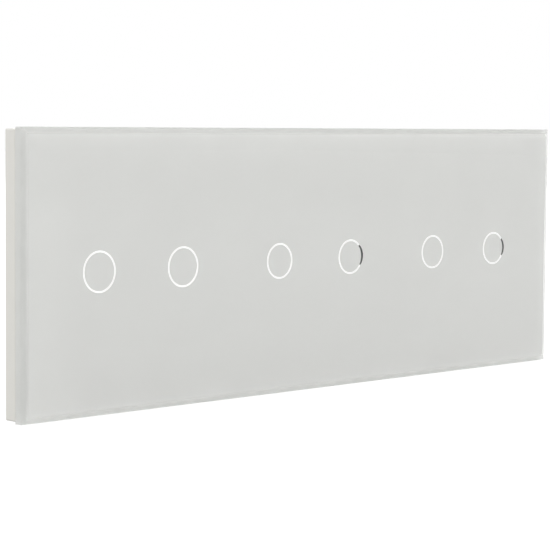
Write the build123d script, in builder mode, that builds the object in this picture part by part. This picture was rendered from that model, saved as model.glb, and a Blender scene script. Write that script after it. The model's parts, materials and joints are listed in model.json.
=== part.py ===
from build123d import *
from math import radians, sin, sqrt
import os

# A triple touch light switch for a wall: one glass panel in front of three two-gang modules.
# Lengths are in millimetres. X runs to the right, Y into the wall, Z up. The wall's face is
# the plane y = 0, so what is in front of it has a negative y, and the origin is the middle
# of the middle module.

# The whole switch. The panel covers three modules with two touch points each.
module_names = ("left", "middle", "right")
ring_spacing = 31.5
box_screw_inset = 5
bracket_gap = 1
panel_end_margin = 9
panel_edge_margin = 5
panel_corner_radius = 0.5

# The glass, what is printed on it, and its adhesive
glass_thickness = 3.2
glass_edge_width = 2.3
glass_edge_depth = 1.3
film_thickness = 0.1
film_margin = 0.3
tape_thickness = 0.15
tape_margin = 1.2
ring_line = 0.45
ring_diameters = {"left": 11.3, "middle": 10.3, "right": 10.3}

# The carrier frame, which clips onto the modules
carrier_inset = 0.5
carrier_wall = 1.6
carrier_skin = 1.5
carrier_rib = 1.2
carrier_rib_clearance = 0.3
ring_window_margin = 0.8
hook_width = 6
hook_thickness = 1.2
hook_spacing = 24
hook_arm_gap = 0.5
hook_nose_gap = 0.1
hook_nose_play = 0.3
hook_nose_length = 1.2
pry_notch_width = 12
pry_notch_depth = 1.2

# The mounting brackets
bracket_thickness = 1
bracket_corner_radius = 3
bracket_bend_radius = 0.8
window_wall = 4.5
box_slot_width = 4.2
box_slot_length = 7
lip_inset = 5
lip_height = 1.7
catch_width = 9
catch_height = 1

# The front cases
ring_inset = 6.25
case_margin = 3.25
case_corner_radius = 3
case_clearance = 0.3
case_wall = 1.2
case_rim = 2
case_rim_up = 4
case_recess_depth = 0.55
stake_radius = 1.5
stake_pin_radius = 0.8
stake_pin_stand = 0.6
stake_spacing_x = 14
stake_spacing_z = 28
boss_radius = 2.1
boss_length = 6
boss_clearance = 0.2

# Light guides, gaskets, springs and status lights
guide_radius = 6.4
guide_fit = 0.1
guide_flange = 0.6
guide_flange_play = 0.05
guide_bore_radius = 4.6
guide_cap = 1
guide_film_gap = 0.3
gasket_width = 0.4
gasket_gap = 0.05
spring_radius = 3.9
spring_wire_radius = 0.25
spring_end_gap = 0.05
spring_turns = 3
light_length = 3
light_width = 1.6
light_height = 0.7
light_lens_radius = 0.6
light_lens_height = 0.3

# The circuit boards and the headers between them
board_thickness = 1.6
board_clearance = 0.3
sensor_board_setback = 1
sensor_board_margin = 1.35
sensor_board_inset = 1.5
sensor_board_inset_up = 3.5
board_gap = 3.4
chip_length = 4.9
chip_width = 3.9
chip_height = 1.5
chip_drop = 4
header_pins = 4
header_pitch = 2.54
header_width = 2.5
header_rise = 12
pin_radius = 0.32
pin_fit = 0.1

# The rear housings and their screws
housing_corner = 8
housing_wall = 1.5
housing_depth = 23
housing_edge = 0.8
housing_screw_inset = 6
post_radius = 2.4
post_step_radius = 3.4
screw_radius = 1.25
screw_clearance = 0.1
screw_head_radius = 2.2
screw_head_height = 1.6
screw_head_sink = 0.4
screw_thread_length = 5
drive_length = 2.8
drive_width = 0.5
drive_depth = 0.8

# The terminals
terminal_names = ("line", "load_1", "load_2")
cage_setback = 5.8
cage_inner_width = 5.2
cage_wall = 1.1
cage_length = 8
cage_floor = 1
cage_head = 1.6
cage_clearance = 0.3
cage_end_gap = 0.5
cage_post_gap = 0.9
least_wire_gap = 1.1
entry_margin = 0.2
bar_thickness = 1
bar_clearance = 0.15
bar_leg_inset = 0.8
terminal_screw_radius = 1.5
terminal_screw_fit = 0.05
terminal_head_radius = 2.7
terminal_head_height = 2
terminal_head_edge = 0.3
terminal_slot_width = 0.8
terminal_slot_depth = 1
driver_hole_radius = 2.2
driver_boss_radius = 3.4
driver_boss_height = 1.3
ledge_reach = 1
board_cage_gap = 0.7

# The relays
relay_width = 10.2
relay_length = 18
relay_rear_gap = 1.5
relay_wall = 0.7
relay_fit = 0.1
relay_gap = 1.8
relay_base = 1.2
coil_radius = 3
core_radius = 1.2
core_fit = 0.05
pole_radius = 2.4
pole_thickness = 0.5
yoke_thickness = 0.8
yoke_side_gap = 0.9
yoke_end_gap = 1.6
yoke_offset = 4.2
armature_side_gap = 0.7
armature_thickness = 0.8
armature_rear_gap = 3.1
armature_tail = 0.8
armature_end_gap = 1.8
armature_clearance = 0.1
armature_swing = 4
contact_end_gap = 3.1
contact_radius = 0.9
contact_height = 0.6
moving_contact_height = 1
contact_gap = 0.06
blade_width = 3
blade_thickness = 0.8

# The supply's components on the relay board
capacitor_radius = 3.15
capacitor_rear_gap = 2.9
capacitor_side_gap = 2.25
capacitor_rim = 0.4
capacitor_rise = 6
transformer_width = 12
transformer_length = 8
transformer_height = 9
transformer_gap = 1
transformer_bar_gap = 1.5
transformer_winding = 7
transformer_core = 5
side_gap = 0.9
side_drop = 5
fuse_radius = 3.8
fuse_height = 8
fuse_edge = 0.6
varistor_width = 3.2
varistor_height = 7.5
varistor_length = 7
varistor_edge = 1.2

# Depths in front of the wall's face, stacked up from the bracket to the glass
bracket_front = -bracket_thickness
case_inside = bracket_front - case_recess_depth
case_front = case_inside - case_wall
skin_back = case_front - case_clearance
tape_back = skin_back - carrier_skin
film_back = tape_back - tape_thickness
glass_back = film_back - film_thickness
glass_front = glass_back - glass_thickness
guide_front = film_back + guide_film_gap
guide_inside = guide_front + guide_cap

# Depths behind it, from the boards to the rear housing's floor. The wire's gap and the cage's
# travel share the depth that the other parts of a terminal leave.
sensor_board_back = sensor_board_setback + board_thickness
relay_board_front = sensor_board_back + board_gap
relay_board_back = relay_board_front + board_thickness
boss_end = bracket_front + boss_length
housing_inside = housing_depth - housing_wall
driver_boss_front = housing_inside - driver_boss_height
head_back = driver_boss_front - cage_clearance
head_front = head_back - terminal_head_height
cage_stack = cage_floor + bar_thickness + cage_clearance + cage_head + cage_clearance
wire_gap = (head_front - cage_setback - cage_stack + least_wire_gap) / 2
cage_travel = wire_gap - least_wire_gap
bar_front = cage_setback + cage_floor + wire_gap
bar_back = bar_front + bar_thickness
cage_back = bar_back + cage_clearance + cage_head
relay_height = housing_inside - relay_rear_gap - relay_board_back
capacitor_height = housing_inside - capacitor_rear_gap - relay_board_back

# A module's two touch points set its bracket, and with it the wall box's screws, its front case
# and the panel
module_count = len(module_names)
bracket_window_radius = ring_spacing / 2 + ring_inset
box_screw_spacing = 2 * (bracket_window_radius + window_wall) + box_slot_length
bracket_side = box_screw_spacing + 2 * box_screw_inset
module_pitch = bracket_side + bracket_gap
panel_width = (module_count - 1) * module_pitch + bracket_side + 2 * panel_end_margin
panel_height = bracket_side + 2 * panel_edge_margin
lip_width = bracket_side - 2 * lip_inset
lip_outside = bracket_side / 2
case_side = ring_spacing + 2 * (guide_radius + guide_flange + case_margin)
case_recess_width = case_side - 2 * case_rim
case_recess_height = case_side - 2 * case_rim_up
carrier_width = panel_width - 2 * carrier_inset
carrier_height = panel_height - 2 * carrier_inset
tray_width = carrier_width - 2 * carrier_wall
tray_height = carrier_height - 2 * carrier_wall
ring_window_radius = guide_radius + ring_window_margin
hook_nose_front = bracket_front - catch_height + hook_nose_play
boss_hole_radius = boss_radius + boss_clearance

# The rear housing holds the sensor board, and its terminals stand between two of its posts
sensor_board_width = ring_spacing + 2 * (spring_radius + sensor_board_margin)
inner_side = sensor_board_width + 2 * sensor_board_inset
sensor_board_height = inner_side - 2 * sensor_board_inset_up
housing_side = inner_side + 2 * housing_wall
housing_screw_spacing = housing_side - 2 * housing_screw_inset
terminal_count = len(terminal_names)
cage_width = cage_inner_width + 2 * cage_wall
terminal_span = housing_screw_spacing - 2 * (post_radius + cage_post_gap) - cage_width
terminal_spacing = terminal_span / (terminal_count - 1)
cell_wall = terminal_spacing - cage_width - 2 * cage_clearance
terminal_drop = inner_side / 2 - cage_end_gap - cage_length / 2
cage_top = cage_length / 2 - terminal_drop
relay_board_top = inner_side / 2 - board_clearance
relay_board_bottom = cage_top + board_cage_gap
ledge_top = relay_board_bottom + ledge_reach
bar_width = cage_inner_width - 2 * bar_clearance
bar_low = -terminal_drop - cage_length / 2 + cage_clearance
bar_leg_low = relay_board_bottom + bar_leg_inset
wire_middle = cage_setback + cage_floor + wire_gap / 2

# Above the terminals come the transformer and the relays, and the other components beside them
transformer_low = bar_leg_low + bar_thickness + transformer_bar_gap
transformer_drop = -transformer_low - transformer_length / 2
relay_low = transformer_low + transformer_length + transformer_gap
relay_rise = relay_low + relay_length / 2
relay_spacing = relay_width + relay_gap
relay_edge = relay_spacing / 2 + relay_width / 2
capacitor_offset = relay_edge + capacitor_side_gap + capacitor_radius
side_offset = relay_edge + side_gap + fuse_radius

# What is in a relay follows from the inside of its cover
relay_inner_width = relay_width - 2 * relay_wall
relay_inner_length = relay_length - 2 * relay_wall
yoke_width = relay_inner_width - 2 * yoke_side_gap
armature_width = relay_inner_width - 2 * armature_side_gap
armature_setback = relay_height - relay_wall - armature_rear_gap
armature_tip = relay_inner_length / 2 - armature_end_gap
contact_rise = relay_inner_length / 2 - contact_end_gap
hinge_height = relay_board_back + armature_setback
hinge_rise = relay_rise - relay_inner_length / 2 + yoke_end_gap
coil_rise = hinge_rise + yoke_offset

# Places across the switch
module_places = [(index - (module_count - 1) / 2) * module_pitch for index in range(module_count)]
ring_offsets = (-ring_spacing / 2, ring_spacing / 2)
ring_places = [(place + offset, 0) for place in module_places for offset in ring_offsets]
terminal_offsets = [(index - (terminal_count - 1) / 2) * terminal_spacing for index in range(terminal_count)]
terminal_points = [(offset, -terminal_drop) for offset in terminal_offsets]
cell_wall_offsets = [(index - terminal_count / 2) * terminal_spacing for index in range(terminal_count + 1)]
relay_offsets = (-relay_spacing / 2, relay_spacing / 2)
relay_places = [(place + offset, relay_rise) for place in module_places for offset in relay_offsets]


def facing(depth, across=0, up=0):
    """Return the plane parallel to the wall at a depth behind it, drawn as seen from the front."""
    return Plane(origin=(across, depth, up), x_dir=(1, 0, 0), z_dir=(0, -1, 0))


def save(piece, name):
    """Label a finished piece and write it to a file of its own."""
    piece.part.label = name
    export_step(piece.part, f"parts/{name}.step")


os.makedirs("parts", exist_ok=True)


# The panel: the glass, its backing, the adhesive and the carrier frame

# The glass is a sheet whose front edges are ground round. Its two cross-sections, one along
# the width and one along the height, meet in a mitre at each corner.
across_plane = Plane(origin=(0, 0, 0), x_dir=(1, 0, 0), z_dir=(0, 0, 1))
upright_plane = Plane(origin=(0, 0, 0), x_dir=(0, 0, 1), z_dir=(-1, 0, 0))
with BuildPart() as glass_panel:
    with BuildSketch(facing(glass_back)):
        RectangleRounded(panel_width, panel_height, panel_corner_radius)
    extrude(amount=glass_thickness)
    for plane, span, run in (
        (across_plane, panel_width, panel_height),
        (upright_plane, panel_height, panel_width),
    ):
        shoulder = span / 2 - glass_edge_width
        shoulder_depth = glass_front + glass_edge_depth
        with BuildSketch(plane):
            with BuildLine():
                left_edge = EllipticalCenterArc(
                    (-shoulder, shoulder_depth), glass_edge_width, glass_edge_depth, 180, arc_size=90
                )
                right_edge = EllipticalCenterArc(
                    (shoulder, shoulder_depth), glass_edge_width, glass_edge_depth, 270, arc_size=90
                )
                Line(left_edge @ 1, right_edge @ 0)
                Polyline(right_edge @ 1, (span / 2, glass_back), (-span / 2, glass_back), left_edge @ 0)
            make_face()
        extrude(amount=run, both=True, mode=Mode.INTERSECT)
save(glass_panel, "glass_panel")

# The white backing is one film with six clear rings, each with its own island of white.
with BuildPart() as printed_backing:
    with BuildSketch(facing(film_back)):
        RectangleRounded(panel_width - 2 * film_margin, panel_height - 2 * film_margin, panel_corner_radius)
        for name, place in zip(module_names, module_places):
            with Locations([(place + offset, 0) for offset in ring_offsets]):
                Circle((ring_diameters[name] + ring_line) / 2, mode=Mode.SUBTRACT)
                Circle((ring_diameters[name] - ring_line) / 2)
    extrude(amount=film_thickness)
save(printed_backing, "printed_backing")

with BuildPart() as adhesive_sheet:
    with BuildSketch(facing(tape_back)):
        Rectangle(carrier_width - 2 * tape_margin, carrier_height - 2 * tape_margin)
        with Locations(ring_places):
            Circle(ring_window_radius, mode=Mode.SUBTRACT)
    extrude(amount=tape_thickness)
save(adhesive_sheet, "adhesive_sheet")

# The carrier frame is a tray that opens towards the wall. Ribs stiffen it between the
# modules, and sprung hooks reach over the brackets' lips.
with BuildPart() as carrier_frame:
    with BuildSketch(facing(0)):
        RectangleRounded(carrier_width, carrier_height, panel_corner_radius)
    extrude(amount=-tape_back)
    with BuildSketch(facing(0)):
        RectangleRounded(tray_width, tray_height, panel_corner_radius)
    extrude(amount=-skin_back, mode=Mode.SUBTRACT)
    with BuildSketch(facing(skin_back)):
        with Locations(ring_places):
            Circle(ring_window_radius)
    extrude(amount=carrier_skin, mode=Mode.SUBTRACT)
    with BuildSketch(facing(skin_back)):
        for place in module_places:
            for side in (-1, 1):
                with Locations((place + side * module_pitch / 2, 0)):
                    Rectangle(carrier_rib, tray_height)
    extrude(amount=skin_back - bracket_front + carrier_rib_clearance)
    for place in module_places:
        for offset in (-hook_spacing / 2, hook_spacing / 2):
            for side in (-1, 1):
                arm_inside = lip_outside + hook_arm_gap
                arm_outside = arm_inside + hook_thickness
                hook_end = hook_nose_front + hook_nose_length
                with BuildSketch(Plane.YZ.offset(place + offset)):
                    with BuildLine():
                        Polyline(
                            (skin_back, side * arm_inside),
                            (hook_nose_front, side * arm_inside),
                            (hook_nose_front, side * (lip_outside + hook_nose_gap)),
                            (hook_end, side * arm_inside),
                            (hook_end, side * arm_outside),
                            (skin_back, side * arm_outside),
                            close=True,
                        )
                    make_face()
                extrude(amount=hook_width / 2, both=True)
    with BuildSketch(facing(0, 0, -carrier_height / 2)):
        Rectangle(pry_notch_width, 2 * carrier_wall)
    extrude(amount=pry_notch_depth, mode=Mode.SUBTRACT)
save(carrier_frame, "carrier_frame")


# One module, made three times: bracket, front case and rear housing

corner_places = GridLocations(housing_screw_spacing, housing_screw_spacing, 2, 2)
corner_points = [(spot.position.X, spot.position.Y) for spot in corner_places]


def bracket_at(place):
    """Return the steel bracket of a module: a plate with a window, box-screw slots and two bent lips."""
    with BuildPart() as bracket:
        with BuildSketch(facing(0, place)):
            RectangleRounded(bracket_side, bracket_side, bracket_corner_radius)
        extrude(amount=bracket_thickness)
        with BuildSketch(facing(bracket_front, place)):
            for side in (-1, 1):
                with Locations((0, side * (lip_outside - bracket_thickness / 2))):
                    Rectangle(lip_width, bracket_thickness)
        extrude(amount=lip_height)
        long_edges = bracket.edges().filter_by(Axis.X).filter_by_position(Axis.Y, 0, 0)
        fillet(long_edges.group_by(Axis.Z)[0] + long_edges.group_by(Axis.Z)[-1], bracket_bend_radius)
        with BuildSketch(facing(0, place)):
            Circle(bracket_window_radius)
            for side in (-1, 1):
                with Locations((side * box_screw_spacing / 2, 0)):
                    SlotOverall(box_slot_length, box_slot_width)
                with Locations((0, side * box_screw_spacing / 2)):
                    SlotOverall(box_slot_length, box_slot_width, rotation=90)
            with Locations(corner_points):
                Circle(boss_hole_radius)
        extrude(amount=bracket_thickness, mode=Mode.SUBTRACT)
        for offset in (-hook_spacing / 2, hook_spacing / 2):
            with BuildSketch(facing(bracket_front, place + offset)):
                Rectangle(catch_width, bracket_side)
                Rectangle(catch_width, bracket_side - 2 * bracket_thickness, mode=Mode.SUBTRACT)
            extrude(amount=catch_height, mode=Mode.SUBTRACT)
    return bracket


def front_case_at(place):
    """Return the front case of a module: a shallow plate that holds the light guides and the sensor board."""
    with BuildPart() as front_case:
        with BuildSketch(facing(bracket_front, place)):
            RectangleRounded(case_side, case_side, case_corner_radius)
        extrude(amount=bracket_front - case_front)
        with BuildSketch(facing(bracket_front, place)):
            RectangleRounded(case_recess_width, case_recess_height, case_corner_radius)
        extrude(amount=bracket_front - case_inside, mode=Mode.SUBTRACT)
        with BuildSketch(facing(case_inside, place)):
            with Locations([(offset, 0) for offset in ring_offsets]):
                Circle(guide_radius + guide_fit)
        extrude(amount=case_wall, mode=Mode.SUBTRACT)
        with BuildSketch(facing(sensor_board_setback, place)):
            with GridLocations(stake_spacing_x, stake_spacing_z, 2, 2):
                Circle(stake_radius)
        extrude(amount=sensor_board_setback - case_inside)
        with BuildSketch(facing(sensor_board_back + stake_pin_stand, place)):
            with GridLocations(stake_spacing_x, stake_spacing_z, 2, 2):
                Circle(stake_pin_radius)
        extrude(amount=board_thickness + stake_pin_stand)
        with BuildSketch(facing(boss_end, place)):
            with Locations(corner_points):
                Circle(boss_radius)
        extrude(amount=boss_end - case_inside)
        with BuildSketch(facing(boss_end, place)):
            with Locations(corner_points):
                Circle(screw_radius)
        extrude(amount=screw_thread_length, mode=Mode.SUBTRACT)
    return front_case


def cut_square(inset, mode=Mode.ADD):
    """Draw the housing's outline moved inwards: a square, its corners cut off to fit a round wall box."""
    half = housing_side / 2 - inset
    flat = half - housing_corner + inset * (2 - sqrt(2))
    corners = [(half, flat), (flat, half), (-flat, half), (-half, flat)]
    Polygon(*corners, *[(-across, -up) for across, up in corners], align=None, mode=mode)


def rear_housing_at(place):
    """Return the rear housing of a module, with its screw posts and the cells of its terminals."""
    with BuildPart() as rear_housing:
        with BuildSketch(facing(housing_depth, place)):
            cut_square(0)
        extrude(amount=housing_depth)
        chamfer(rear_housing.faces().sort_by(Axis.Y)[-1].edges(), housing_edge)
        with BuildSketch(facing(housing_inside, place)):
            cut_square(housing_wall)
        extrude(amount=housing_inside, mode=Mode.SUBTRACT)
        # Four posts end at the front case's bosses. The upper two have a step for the relay board.
        with BuildSketch(facing(housing_inside, place)):
            with Locations(corner_points):
                Circle(post_radius)
        extrude(amount=housing_inside - boss_end)
        with BuildSketch(facing(housing_inside, place)):
            with Locations([(across, up) for across, up in corner_points if up > 0]):
                Circle(post_step_radius)
            cut_square(housing_wall / 2, mode=Mode.INTERSECT)
        extrude(amount=housing_inside - relay_board_back)
        # Walls between the terminals guide the cages and carry the board's lower edge.
        for top, front in ((cage_top, cage_setback - cage_clearance), (ledge_top, relay_board_back)):
            with BuildSketch(facing(housing_inside, place)):
                with Locations([(spot, -inner_side / 2) for spot in cell_wall_offsets]):
                    Rectangle(cell_wall, top + inner_side / 2, align=(Align.CENTER, Align.MIN))
                cut_square(housing_wall / 2, mode=Mode.INTERSECT)
            extrude(amount=housing_inside - front)
        with BuildSketch(facing(housing_inside, place)):
            with Locations(terminal_points):
                Circle(driver_boss_radius)
        extrude(amount=housing_inside - driver_boss_front)
        with BuildSketch(facing(housing_depth, place)):
            with Locations(terminal_points):
                Circle(driver_hole_radius)
        extrude(amount=housing_depth - driver_boss_front, mode=Mode.SUBTRACT)
        with BuildSketch(facing(housing_depth, place)):
            with Locations(corner_points):
                Circle(screw_radius + screw_clearance)
        extrude(amount=housing_depth - boss_end, mode=Mode.SUBTRACT)
        with BuildSketch(facing(boss_end, place)):
            with Locations(corner_points):
                Circle(boss_hole_radius)
        extrude(amount=boss_end, mode=Mode.SUBTRACT)
        with BuildSketch(facing(housing_depth, place)):
            with Locations(corner_points):
                Circle(screw_head_radius + screw_clearance)
        extrude(amount=screw_head_sink + screw_head_height, mode=Mode.SUBTRACT)
        # The wires come in from below, one through each entry.
        below = Plane(origin=(place, 0, -housing_side / 2), x_dir=(1, 0, 0), z_dir=(0, 0, 1))
        with BuildSketch(below):
            with Locations([(offset, wire_middle) for offset in terminal_offsets]):
                Rectangle(cage_inner_width + 2 * entry_margin, wire_gap + 2 * entry_margin)
        extrude(amount=housing_wall, mode=Mode.SUBTRACT)
    return rear_housing


for name, place in zip(module_names, module_places):
    save(bracket_at(place), f"{name}_bracket")
    save(front_case_at(place), f"{name}_front_case")
    save(rear_housing_at(place), f"{name}_rear_housing")

# The twelve screws come from the rear, through the posts and brackets, into the front cases.
screw_places = [(place + across, up) for place in module_places for across, up in corner_points]
with BuildPart() as housing_screws:
    head_seat = housing_depth - screw_head_sink - screw_head_height
    with BuildSketch(facing(housing_depth - screw_head_sink)):
        with Locations(screw_places):
            Circle(screw_head_radius)
    extrude(amount=screw_head_height)
    with BuildSketch(facing(head_seat)):
        with Locations(screw_places):
            Circle(screw_radius)
    extrude(amount=head_seat - boss_end + screw_thread_length - screw_clearance)
    with BuildSketch(facing(housing_depth - screw_head_sink)):
        with Locations(screw_places):
            Rectangle(drive_length, drive_width)
            Rectangle(drive_width, drive_length)
    extrude(amount=drive_depth, mode=Mode.SUBTRACT)
save(housing_screws, "housing_screws")


# What lights and senses the touch points

# A light guide is a clear cap whose flange is held between the front case and the bracket.
with BuildPart() as light_guides:
    guide_back = bracket_front - guide_flange_play
    for radius, front, mode in (
        (guide_radius + guide_flange, case_inside, Mode.ADD),
        (guide_radius, guide_front, Mode.ADD),
        (guide_bore_radius, guide_inside, Mode.SUBTRACT),
    ):
        with BuildSketch(facing(guide_back)):
            with Locations(ring_places):
                Circle(radius)
        extrude(amount=guide_back - front, mode=mode)
save(light_guides, "light_guides")

with BuildPart() as light_gaskets:
    with BuildSketch(facing(case_front)):
        with Locations(ring_places):
            Circle(guide_radius + gasket_gap + gasket_width)
            Circle(guide_radius + gasket_gap, mode=Mode.SUBTRACT)
    extrude(amount=case_front - guide_front)
save(light_gaskets, "light_gaskets")

# A touch spring stands on the sensor board and presses on the inside of its light guide.
with BuildPart() as touch_springs:
    spring_end = spring_end_gap + spring_wire_radius
    spring_height = sensor_board_setback - guide_inside - 2 * spring_end
    spring_pitch = spring_height / spring_turns
    for across, up in ring_places:
        foot = (across, sensor_board_setback - spring_end, up)
        with BuildLine() as coil:
            Helix(spring_pitch, spring_height, spring_radius, center=foot, direction=(0, -1, 0))
        with BuildSketch(Plane(origin=coil.line @ 0, z_dir=coil.line % 0)):
            Circle(spring_wire_radius)
        sweep(path=coil.line, is_frenet=True)
save(touch_springs, "touch_springs")

with BuildPart() as status_lights:
    with BuildSketch(facing(sensor_board_setback)):
        with Locations(ring_places):
            Rectangle(light_length, light_width)
    extrude(amount=light_height)
    with BuildSketch(facing(sensor_board_setback - light_height)):
        with Locations(ring_places):
            Circle(light_lens_radius)
    extrude(amount=light_lens_height)
save(status_lights, "status_lights")


# The circuit boards, with the chip and the header between them


def header_holes(radius):
    """Draw a circle at each pin of a module's header."""
    with Locations((0, header_rise)):
        with GridLocations(header_pitch, header_pitch, header_pins, 1):
            Circle(radius, mode=Mode.SUBTRACT)


def board_at(place, back, width, bottom, top, holes):
    """Return a circuit board that fits the housing, with round holes for what passes through it."""
    with BuildPart() as board:
        with BuildSketch(facing(back, place)):
            cut_square(housing_wall + board_clearance)
            with Locations((0, (top + bottom) / 2)):
                Rectangle(width, top - bottom, mode=Mode.INTERSECT)
            for points, radius in holes:
                with Locations(points):
                    Circle(radius, mode=Mode.SUBTRACT)
            header_holes(pin_radius + pin_fit)
        extrude(amount=board_thickness)
    return board


stake_grid = GridLocations(stake_spacing_x, stake_spacing_z, 2, 2)
stake_points = [(spot.position.X, spot.position.Y) for spot in stake_grid]
sensor_top = sensor_board_height / 2
for name, place in zip(module_names, module_places):
    sensor_board = board_at(
        place,
        sensor_board_back,
        sensor_board_width,
        -sensor_top,
        sensor_top,
        (
            (corner_points, boss_radius + board_clearance),
            (stake_points, stake_pin_radius + pin_fit),
        ),
    )
    save(sensor_board, f"{name}_sensor_board")
    relay_board = board_at(
        place,
        relay_board_back,
        inner_side,
        relay_board_bottom,
        relay_board_top,
        ((corner_points, post_radius + board_clearance),),
    )
    save(relay_board, f"{name}_relay_board")

with BuildPart() as touch_chips:
    with BuildSketch(facing(sensor_board_back + chip_height)):
        with Locations([(place, -chip_drop) for place in module_places]):
            Rectangle(chip_length, chip_width)
    extrude(amount=chip_height)
save(touch_chips, "touch_chips")

with BuildPart() as pin_headers:
    with BuildSketch(facing(relay_board_front)):
        with Locations([(place, header_rise) for place in module_places]):
            Rectangle(header_pins * header_pitch, header_width)
    extrude(amount=board_gap)
    with BuildSketch(facing(relay_board_back)):
        with Locations([(place, header_rise) for place in module_places]):
            with GridLocations(header_pitch, header_pitch, header_pins, 1):
                Circle(pin_radius)
    extrude(amount=relay_board_back - sensor_board_setback)
save(pin_headers, "pin_headers")


# The relays

relay_top = relay_board_back + relay_height
with BuildPart() as relay_bases:
    with BuildSketch(facing(relay_board_back + relay_base)):
        with Locations(relay_places):
            Rectangle(relay_inner_width - 2 * relay_fit, relay_inner_length - 2 * relay_fit)
    extrude(amount=relay_base)
save(relay_bases, "relay_bases")

with BuildPart() as relay_covers:
    with BuildSketch(facing(relay_top)):
        with Locations(relay_places):
            Rectangle(relay_width, relay_length)
    extrude(amount=relay_height)
    with BuildSketch(facing(relay_top - relay_wall)):
        with Locations(relay_places):
            Rectangle(relay_inner_width, relay_inner_length)
    extrude(amount=relay_height - relay_wall, mode=Mode.SUBTRACT)
save(relay_covers, "relay_covers")

# The yoke carries the core and, at the top of its leg, the armature. The core's pole and the
# fixed contact end where the armature comes to at the end of its swing.
swing_share = sin(radians(armature_swing))
pole_back = hinge_height - (yoke_offset + pole_radius) * swing_share - contact_gap
yoke_floor = relay_board_back + relay_base + yoke_thickness
core_places = [(across, coil_rise) for across, up in relay_places]
with BuildPart() as relay_yokes:
    for across, up in relay_places:
        leg_low = hinge_rise - yoke_thickness / 2
        leg_high = hinge_rise + yoke_thickness / 2
        with BuildSketch(Plane.YZ.offset(across)):
            with BuildLine():
                Polyline(
                    (relay_board_back + relay_base, leg_low),
                    (hinge_height - armature_clearance, leg_low),
                    (hinge_height - armature_clearance, leg_high),
                    (yoke_floor, leg_high),
                    (yoke_floor, coil_rise + pole_radius),
                    (relay_board_back + relay_base, coil_rise + pole_radius),
                    close=True,
                )
            make_face()
        extrude(amount=yoke_width / 2, both=True)
    with BuildSketch(facing(pole_back)):
        with Locations(core_places):
            Circle(pole_radius)
    extrude(amount=pole_thickness)
    with BuildSketch(facing(pole_back)):
        with Locations(core_places):
            Circle(core_radius)
    extrude(amount=pole_back - yoke_floor)
save(relay_yokes, "relay_yokes")

with BuildPart() as relay_coils:
    with BuildSketch(facing(pole_back - pole_thickness)):
        with Locations(core_places):
            Circle(coil_radius)
            Circle(core_radius + core_fit, mode=Mode.SUBTRACT)
    extrude(amount=pole_back - pole_thickness - yoke_floor)
save(relay_coils, "relay_coils")

moving_contact_front = hinge_height - moving_contact_height
contact_reach = relay_rise + contact_rise + contact_radius - hinge_rise
contact_back = moving_contact_front - contact_reach * swing_share - contact_gap
contact_places = [(across, up + contact_rise) for across, up in relay_places]
with BuildPart() as relay_contacts:
    with BuildSketch(facing(contact_back)):
        with Locations(contact_places):
            Circle(contact_radius)
    extrude(amount=contact_height)
    with BuildSketch(facing(contact_back - contact_height)):
        with Locations(contact_places):
            Rectangle(blade_width, blade_thickness)
    extrude(amount=contact_back - contact_height - relay_board_back - relay_base)
save(relay_contacts, "relay_contacts")

armature_bottom = hinge_rise - armature_tail
armature_top = relay_rise + armature_tip
for name, place in zip(module_names, module_places):
    for number, offset in enumerate(relay_offsets, start=1):
        with BuildPart() as relay_armature:
            middle = (armature_top + armature_bottom) / 2
            with BuildSketch(facing(hinge_height + armature_thickness, place + offset, middle)):
                Rectangle(armature_width, armature_top - armature_bottom)
            extrude(amount=armature_thickness)
            with BuildSketch(facing(hinge_height, place + offset, relay_rise + contact_rise)):
                Circle(contact_radius)
            extrude(amount=moving_contact_height)
        save(relay_armature, f"{name}_relay_{number}_armature")


# The supply's components

with BuildPart() as capacitors:
    with BuildSketch(facing(relay_board_back + capacitor_height)):
        for place in module_places:
            for side in (-1, 1):
                with Locations((place + side * capacitor_offset, capacitor_rise)):
                    Circle(capacitor_radius)
    extrude(amount=capacitor_height)
    fillet(capacitors.faces().group_by(Axis.Y)[-1].edges(), capacitor_rim)
save(capacitors, "capacitors")

with BuildPart() as transformers:
    for width, length in (
        (transformer_width, transformer_core),
        (transformer_winding, transformer_length),
    ):
        with BuildSketch(facing(relay_board_back + transformer_height)):
            with Locations([(place, -transformer_drop) for place in module_places]):
                Rectangle(width, length)
        extrude(amount=transformer_height)
save(transformers, "transformers")

with BuildPart() as fuses:
    with BuildSketch(facing(relay_board_back + fuse_height)):
        with Locations([(place - side_offset, -side_drop) for place in module_places]):
            Circle(fuse_radius)
    extrude(amount=fuse_height)
    fillet(fuses.faces().group_by(Axis.Y)[-1].edges(), fuse_edge)
save(fuses, "fuses")

with BuildPart() as varistors:
    with BuildSketch(facing(relay_board_back + varistor_height)):
        with Locations([(place + side_offset, -side_drop) for place in module_places]):
            RectangleRounded(varistor_width, varistor_length, varistor_edge)
    extrude(amount=varistor_height)
save(varistors, "varistors")


# The terminals: a fixed bar, a cage that rises to clamp the wire against it, and its screw

with BuildPart() as terminal_bars:
    for place in module_places:
        for offset in terminal_offsets:
            with BuildSketch(Plane.YZ.offset(place + offset)):
                with BuildLine():
                    Polyline(
                        (bar_front, bar_low),
                        (bar_back, bar_low),
                        (bar_back, bar_leg_low + bar_thickness),
                        (relay_board_back, bar_leg_low + bar_thickness),
                        (relay_board_back, bar_leg_low),
                        (bar_front, bar_leg_low),
                        close=True,
                    )
                make_face()
            extrude(amount=bar_width / 2, both=True)
save(terminal_bars, "terminal_bars")


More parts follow.
